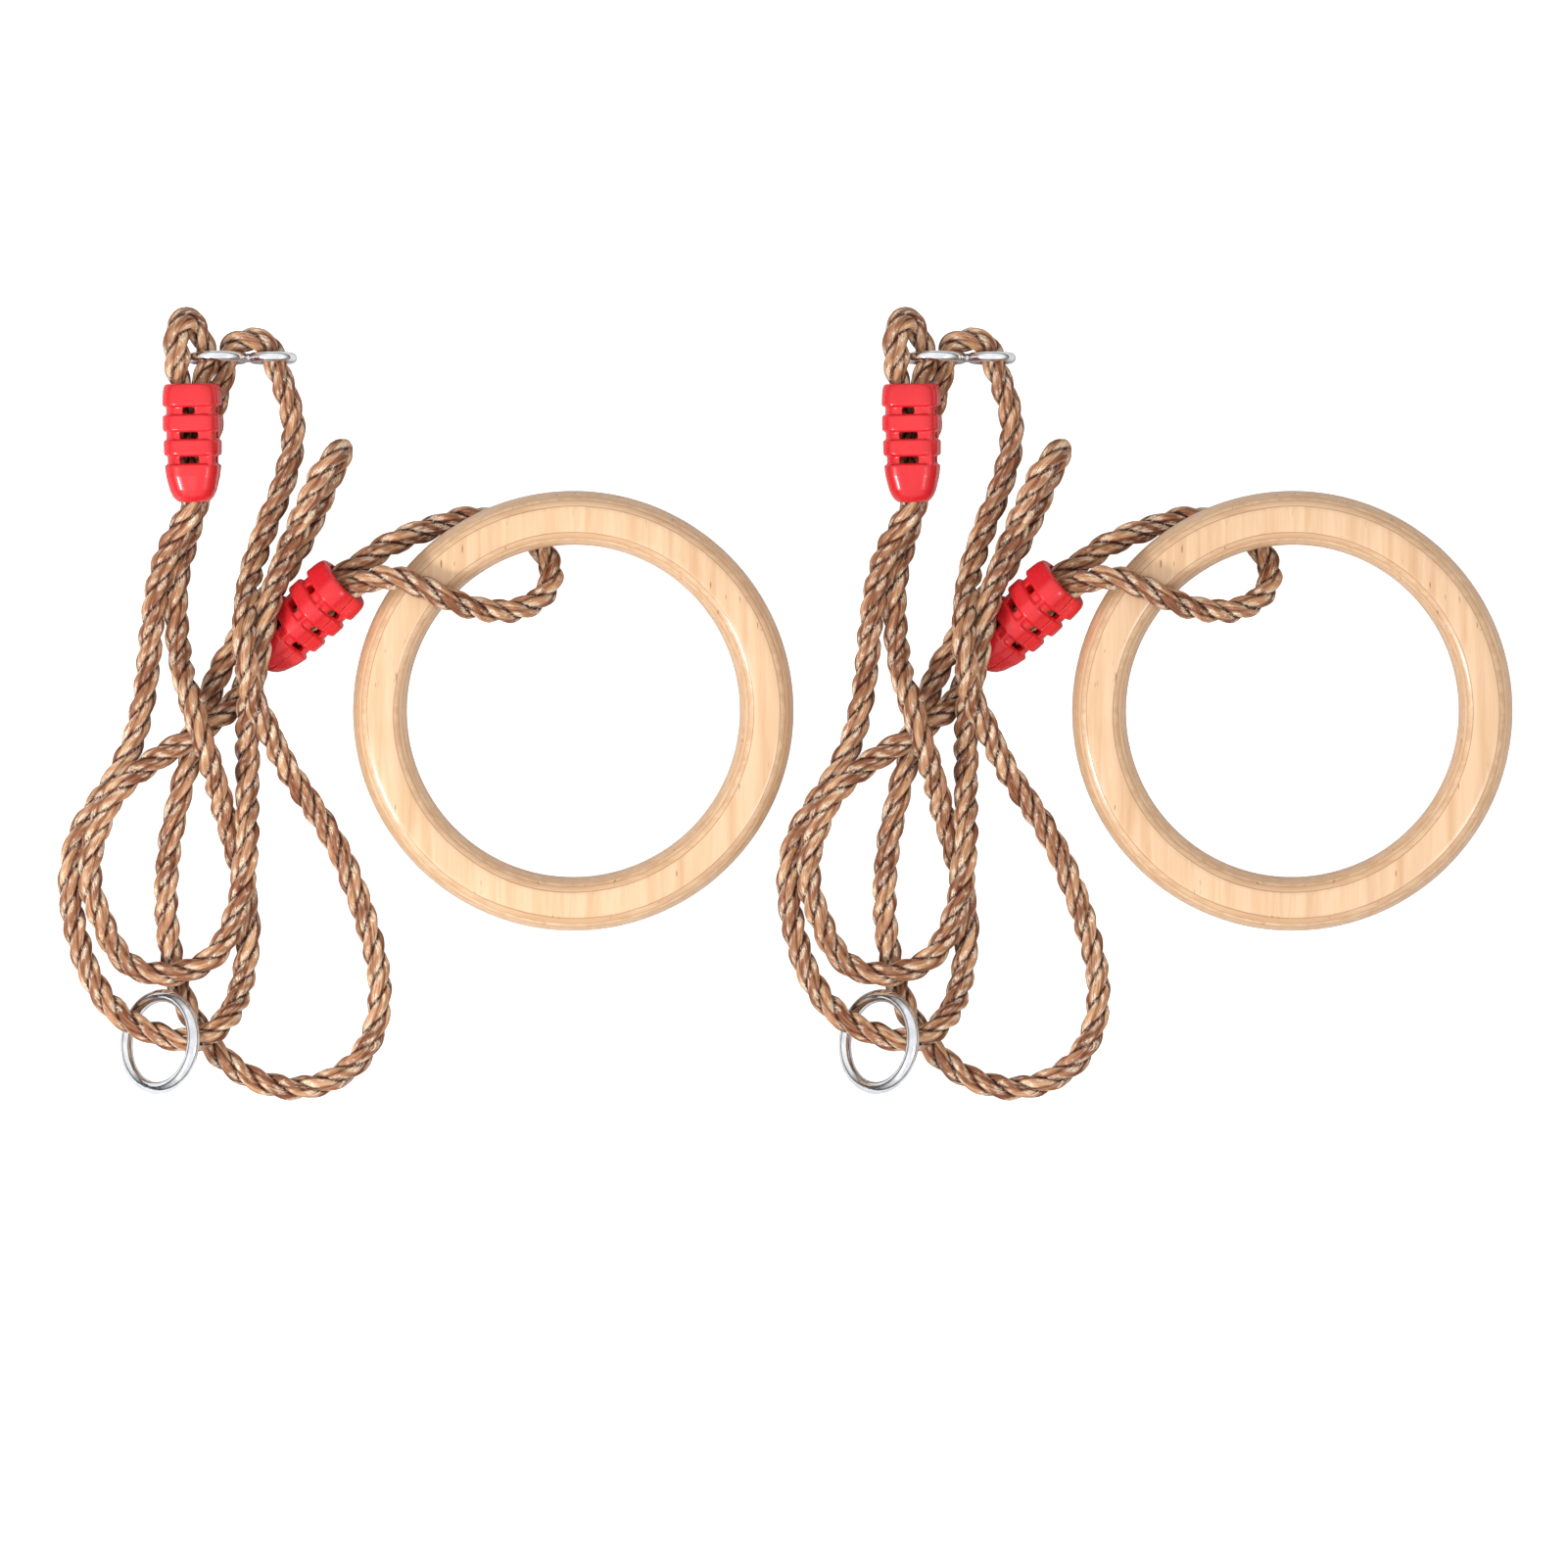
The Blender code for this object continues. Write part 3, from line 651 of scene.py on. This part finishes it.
def wavering(places, amount, spacing, seed):
    """Return smooth random numbers along the rope, from -amount to amount."""
    random = np.random.default_rng(seed)
    count = int(places[-1] / spacing) + 4
    values = random.uniform(-1, 1, count)
    ease = places / spacing
    index = ease.astype(int)
    part = ease - index
    part = part * part * (3 - 2 * part)
    return amount * (values[index] * (1 - part) + values[index + 1] * part)


def scattered(*numbers):
    """Return a random-looking number from 0 to 1 for each combination of whole numbers."""
    total = sum(number * step for number, step in zip(numbers, (12.9898, 78.233, 37.719)))
    return np.abs(np.sin(total) * 4375.8545) % 1.0


def neck_fullness(places):
    """Return how full the rope is: 0 where it is squeezed, 1 where it is free."""
    fullness = np.ones(len(places))
    for start, end in ROPE_SQUEEZED:
        outside = np.maximum(np.maximum(start - places, places - end), 0)
        fullness = np.minimum(fullness, np.clip(outside / ROPE_NECK_RAMP, 0, 1))
    return fullness


def rope_mesh():
    """Return the rope's mesh, the centreline that it follows and its length in metres."""
    route = [route_point(point) for _, points in ROPE_ROUTE for point in points]
    centre, places = evenly_spaced(smooth_curve(route), ROPE_STEP)
    normals, binormals = carried_normals(centre)
    angles, radii, crests, across = strand_profile().T
    size = ROPE_NECK + (1 - ROPE_NECK) * neck_fullness(places)
    size = size * (1 + wavering(places, *SIZE_WAVER))
    in_eye = np.clip(np.minimum(places - ROPE_EYE[0], ROPE_EYE[1] - places) / ROPE_NECK_RAMP, 0, 1)
    size = size * (1 + ROPE_EYE_SWELL * in_eye)
    twist = 2 * math.pi * (places + wavering(places, *LAY_WAVER)) / ROPE_LAY
    around = angles[None, :] + twist[:, None]
    strand = np.arange(len(angles)) // STRAND_STEPS
    lines = around - YARN_SLANT * (places + wavering(places, *SLANT_WAVER))[:, None]
    turns = lines * YARNS / (2 * math.pi)
    column = np.floor(turns)
    beside = 2 * (turns - column) - 1
    yarn = (1 - beside ** 2) ** YARN_ROUNDNESS
    strand_heading = strand[None, :] * 2 * math.pi / 3 + twist[:, None]
    middle = (column + 0.5) * 2 * math.pi / YARNS + YARN_SLANT * places[:, None]
    lap = np.round((strand_heading - middle) / (2 * math.pi))
    chance = scattered(column % YARNS, strand[None, :] + 0 * column, lap)
    bulge = yarn * (YARN_LEAST_BULGE + YARN_BULGE_SPREAD * chance) - YARN_SINK
    lift = YARN_HEIGHT * bulge * np.sqrt(crests)[None, :]
    tuck = YARN_TUCK * np.sin(math.pi * 2 * (across - 0.5))[None, :] * yarn
    radius = (radii[None, :] + lift + tuck * crests[None, :]) * size[:, None]
    radius = np.minimum(radius, ROPE_LARGEST_RADIUS * (1 + ROPE_EYE_SWELL * in_eye)[:, None])
    points = (centre[:, None, :]
              + (radius * np.cos(around))[:, :, None] * normals[:, None, :]
              + (radius * np.sin(around))[:, :, None] * binormals[:, None, :])
    points[:, :, 2] = np.maximum(points[:, :, 2], ROPE_CLEARANCE)
    faces = skin(*radius.shape, closed=False)
    mesh = mesh_from_arrays("rope", (points.reshape(-1, 3) * MM).tolist(), faces)
    across = np.broadcast_to(across[None, :], lines.shape)
    crest = crests[None, :] * np.ones_like(lines)
    along = np.broadcast_to(places[:, None], lines.shape)
    fibre = np.stack([FIBRE_RADIUS * np.cos(lines), FIBRE_RADIUS * np.sin(lines), along], axis=2)
    for name, value in (("fibre", fibre), ("petal", np.stack([across, yarn, chance], axis=2))):
        mesh.attributes.new(name, "FLOAT_VECTOR", "POINT").data.foreach_set(
            "vector", value.reshape(-1).astype(np.float32))
    mesh.attributes.new("crest", "FLOAT", "POINT").data.foreach_set(
        "value", crest.reshape(-1).astype(np.float32))
    return mesh, centre[::ROPE_PATH_EVERY] * MM, places[-1] * MM


# ---------------------------------------------------------------- wood and steel


def ring_mesh(name, radius, section, steps):
    """Sweep a closed section of (outwards, up) points once around the Z axis."""
    points = []
    for i in range(steps):
        angle = 2 * math.pi * i / steps
        for out, up in section:
            distance = (radius + out) * MM
            points.append((distance * math.cos(angle), distance * math.sin(angle), up * MM))
    faces = skin(steps, len(section), closed=True)
    return mesh_from_arrays(name, points, [tuple(reversed(face)) for face in faces])


def wooden_section():
    """Return the wooden ring's section: two half rounds joined by narrow flats."""
    half = WOOD_SECTION / 2
    flat = WOOD_FLAT / 2
    points = []
    for side in (1, -1):
        for i in range(WOOD_HALF_ROUND_STEPS + 1):
            angle = math.radians(-90 + 180 / WOOD_HALF_ROUND_STEPS * i)
            points.append((side * (flat + (half - flat) * math.cos(angle)),
                           side * half * math.sin(angle)))
    return points


def wire_section(radius, sides):
    """Return a round wire's section."""
    angles = [2 * math.pi * i / sides for i in range(sides)]
    return [(radius * math.cos(angle), radius * math.sin(angle)) for angle in angles]


def wooden_ring_matrix():
    """Return the wooden ring's place from its joint, which stands square on the ring."""
    joint = next(j for j in frame["record"]["behaviour"]["joints"]
                 if j["name"] == "left_ring_turn")
    centre = Vector(joint["pos_m"]) - CENTRES["left"]
    turn = Vector((0, 0, 1)).rotation_difference(Vector(joint["axis"])).to_matrix().to_4x4()
    return Matrix.Translation(centre) @ turn


def hanging_ring_matrix():
    """Return the hanging ring's place: one edge on the floor, the other leaning up."""
    lean = math.radians(HANGING_RING_LEAN)
    heading = math.radians(HANGING_RING_HEADING)
    reach = HANGING_RING_RADIUS * math.cos(lean)
    edge = Vector((HANGING_RING_CENTRE[0] - reach * math.cos(heading),
                   HANGING_RING_CENTRE[1] - reach * math.sin(heading), HANGING_WIRE_RADIUS))
    turn = Matrix.Rotation(heading, 4, "Z") @ Matrix.Rotation(-lean, 4, "Y")
    centre = Matrix.Translation((HANGING_RING_RADIUS * MM, 0, 0))
    return Matrix.Translation(edge * MM) @ turn @ centre


def adjuster_matrix():
    """Return the adjuster's place: on the floor, leaning back a little."""
    foot = Matrix.Translation(Vector((*ADJUSTER_WAIST, ADJUSTER_WIRE_RADIUS)) * MM)
    lean = Matrix.Rotation(math.radians(-ADJUSTER_LEAN), 4, "X")
    return foot @ lean @ Matrix.Translation((0, 0, ADJUSTER_LARGE_RADIUS * MM))


def adjuster_mesh():
    """Return two welded wire rings, side by side in the XZ plane."""
    upright = Matrix.Rotation(math.radians(90), 4, "X")
    joined = bmesh.new()
    for radius, side in ((ADJUSTER_LARGE_RADIUS, -1), (ADJUSTER_SMALL_RADIUS, 1)):
        section = wire_section(ADJUSTER_WIRE_RADIUS, ADJUSTER_WIRE_SIDES)
        mesh = ring_mesh("wire", radius, section, ADJUSTER_RING_STEPS)
        offset = side * (radius + ADJUSTER_WIRE_RADIUS - ADJUSTER_WELD / 2)
        mesh.transform(Matrix.Translation((offset * MM, 0, 0)) @ upright)
        joined.from_mesh(mesh)
        bpy.data.meshes.remove(mesh)
    for side in (-1, 1):
        place = Matrix.Translation((0, WELD_BEAD_OFFSET * side * MM, 0))
        bmesh.ops.create_uvsphere(joined, u_segments=24, v_segments=14, radius=MM,
                                  matrix=place @ Matrix.Diagonal((*WELD_BEAD_RADII, 1)))
    made = bpy.data.meshes.new("length_adjuster")
    joined.to_mesh(made)
    joined.free()
    made.shade_smooth()
    return made


# ---------------------------------------------------------------- clamps


def rounded_rectangle(half_width, half_height, corner, steps):
    """Return points of a rectangle with round corners."""
    corner = min(corner, half_width - CLAMP_LEAST_STRAIGHT, half_height - CLAMP_LEAST_STRAIGHT)
    points = []
    for quarter in range(4):
        centre_x = (half_width - corner) * (1 if quarter in (0, 3) else -1)
        centre_y = (half_height - corner) * (1 if quarter in (0, 1) else -1)
        for i in range(steps + 1):
            angle = math.radians(90 * quarter + 90 * i / steps)
            points.append((centre_x + corner * math.cos(angle),
                           centre_y + corner * math.sin(angle)))
    return points


def lofted(name, rows):
    """Return a closed mesh through rows of (x, y, z) points in millimetres."""
    points = [(x * MM, y * MM, z * MM) for row in rows for x, y, z in row]
    return mesh_from_arrays(name, points, skin(len(rows), len(rows[0]), closed=False))


def box(name, centre, size):
    """Return a box mesh in millimetres."""
    half = [value / 2 for value in size]
    corners = [(-half[0], -half[1]), (half[0], -half[1]), (half[0], half[1]), (-half[0], half[1])]
    return lofted(name, [[(centre[0] + x, centre[1] + y, centre[2] + z) for x, y in corners]
                         for z in (-half[2], half[2])])


def loose(mesh):
    """Link a working object that shows a mesh."""
    made = bpy.data.objects.new(mesh.name, mesh)
    bpy.context.scene.collection.objects.link(made)
    return made


def clamp_cutters(side):
    """Return meshes that cut one shell out of a solid clamp."""
    cutters = [lofted("cavity", [
        [(x, y, z) for x, y in rounded_rectangle(wide, high, high, CLAMP_CORNER_STEPS)]
        for z, wide, high in CLAMP_CAVITY])]
    away = SHELL_CUTTER[1] / 2 - SHELL_HALF_GAP
    cutters.append(box("other_half", (0, -side * away, CLAMP_LENGTH / 2), SHELL_CUTTER))
    for z, width in CLAMP_WINDOWS:
        cutters.append(box("window", (0, side * WINDOW_DEPTH / 2, z),
                           (width, WINDOW_DEPTH, WINDOW_HEIGHT)))
        for end in (1, -1):
            x, y = SIDE_WINDOW_PLACE
            cutters.append(box("side_window", (end * x, side * y, z), SIDE_WINDOW_SIZE))
    return cutters


def clamp_shell(side):
    """Return one half shell of the clamp, moulded edges and all; side is 1 or -1."""
    body = loose(lofted("clamp_outside", [
        [(x, y, z) for x, y in rounded_rectangle(half, half, CLAMP_CORNER, CLAMP_CORNER_STEPS)]
        for z, half in CLAMP_OUTSIDE]))
    x, y, z = CORNER_BAR_PLACE
    corner_bar = box("corner_bar", (side * x, side * y, z), CORNER_BAR_SIZE)
    steps = [("DIFFERENCE", loose(mesh)) for mesh in clamp_cutters(side)]
    steps.append(("UNION", loose(corner_bar)))
    for operation, tool in steps:
        boolean = body.modifiers.new(tool.name, "BOOLEAN")
        boolean.operation = operation
        boolean.solver = "EXACT"
        boolean.object = tool
    remesh = body.modifiers.new("remesh", "REMESH")
    remesh.mode = "VOXEL"
    remesh.voxel_size = SHELL_VOXEL * MM
    soften = body.modifiers.new("soften", "SMOOTH")
    soften.factor = SHELL_SOFTENING
    soften.iterations = SHELL_SOFTENING_TURNS
    bpy.context.view_layer.update()
    evaluated = body.evaluated_get(bpy.context.evaluated_depsgraph_get())
    shell = bpy.data.meshes.new_from_object(evaluated)
    shell.name = "clamp_shell"
    shell.shade_smooth()
    for item in [body, *[tool for _, tool in steps]]:
        bpy.data.objects.remove(item, do_unlink=True)
    return shell


# ---------------------------------------------------------------- the two sets


def build_sets():
    """Make each mesh once and place it in both sets."""
    rope, centreline, length = rope_mesh()
    wood = ring_mesh("wooden_ring", WOOD_OUTER_RADIUS - WOOD_SECTION / 2, wooden_section(),
                     WOOD_STEPS)
    hanging = ring_mesh("hanging_ring", HANGING_RING_RADIUS,
                        wire_section(HANGING_WIRE_RADIUS, HANGING_WIRE_SIDES),
                        HANGING_RING_STEPS)
    adjuster = adjuster_mesh()
    shells = {"upper": clamp_shell(1), "lower": clamp_shell(-1)}
    for side in SIDES:
        add_piece("ring_wood", wood, side, "wooden_ring", "plywood",
                  wooden_ring_matrix(), ["wooden_ring"])
        add_piece("ring_steel", hanging, side, "hanging_ring", "steel",
                  hanging_ring_matrix(), ["hanging_ring"])
        add_piece("adjuster_steel", adjuster, side, "adjuster", "steel",
                  adjuster_matrix(), ["length_adjuster"])
        for clamp, ends in (("ring_clamp", RING_CLAMP), ("adjuster_clamp", ADJUSTER_CLAMP)):
            for half, shell in shells.items():
                add_piece(f"{clamp}_{half}", shell, side, "rope_set", "red_plastic",
                          clamp_matrix(*ends), [f"{clamp}_{half}_shell"])
        piece = add_piece("rope", rope, side, "rope_set", "rope", Matrix.Identity(4),
                          [name for name, _ in ROPE_ROUTE])


# ---------------------------------------------------------------- floor, light and camera


def area_light(name, place, size, power):
    """Add a soft square light that points at the object."""
    data = bpy.data.lights.new(name, "AREA")
    data.shape = "RECTANGLE"
    data.size = size
    data.size_y = size
    data.energy = power
    light = bpy.data.objects.new(name, data)
    bpy.context.scene.collection.objects.link(light)
    light.location = place
    light.rotation_euler = (Vector(LIGHT_AIM) - Vector(place)).to_track_quat("-Z", "Y").to_euler()


def build_world():
    """Light the scene with a white sky that darkens towards the horizon."""
    world = bpy.data.worlds.new("studio")
    bpy.context.scene.world = world
    world.use_nodes = True
    sky = world.node_tree
    direction = sky.nodes.new("ShaderNodeSeparateXYZ")
    sky.links.new(sky.nodes.new("ShaderNodeTexCoord").outputs["Generated"], direction.inputs[0])
    strength = sky.nodes.new("ShaderNodeMapRange")
    sky.links.new(direction.outputs[2], strength.inputs["Value"])
    strength.inputs["From Min"].default_value = SKY_RISE[0]
    strength.inputs["From Max"].default_value = SKY_RISE[1]
    strength.inputs["To Min"].default_value = SKY_AT_HORIZON
    strength.inputs["To Max"].default_value = SKY_OVERHEAD
    background = sky.nodes["Background"]
    sky.links.new(strength.outputs[0], background.inputs["Strength"])
    background.inputs["Color"].default_value = (1, 1, 1, 1)


def build_studio():
    """Add the sky, the lights and the floor."""
    bpy.context.scene.view_settings.view_transform = "Standard"
    build_world()
    for light in LIGHTS:
        area_light(*light)
    floor = loose(box("floor", (0, 0, -FLOOR_SIZE[2] / 2), FLOOR_SIZE))
    floor.data.materials.append(floor_material())


def build_camera():
    """Add a camera straight above the object, far off with a long lens."""
    data = bpy.data.cameras.new("camera")
    data.lens = CAMERA_LENS
    data.sensor_width = CAMERA_SENSOR
    data.clip_end = CAMERA_REACH
    camera = bpy.data.objects.new("camera", data)
    bpy.context.scene.collection.objects.link(camera)
    x, y, z = CAMERA_AIM
    camera.location = (x, y, z + CAMERA_VIEW_WIDTH * CAMERA_LENS / CAMERA_SENSOR)
    bpy.context.scene.camera = camera


build_camera()
build_sets()
build_studio()
bpy.context.view_layer.update()
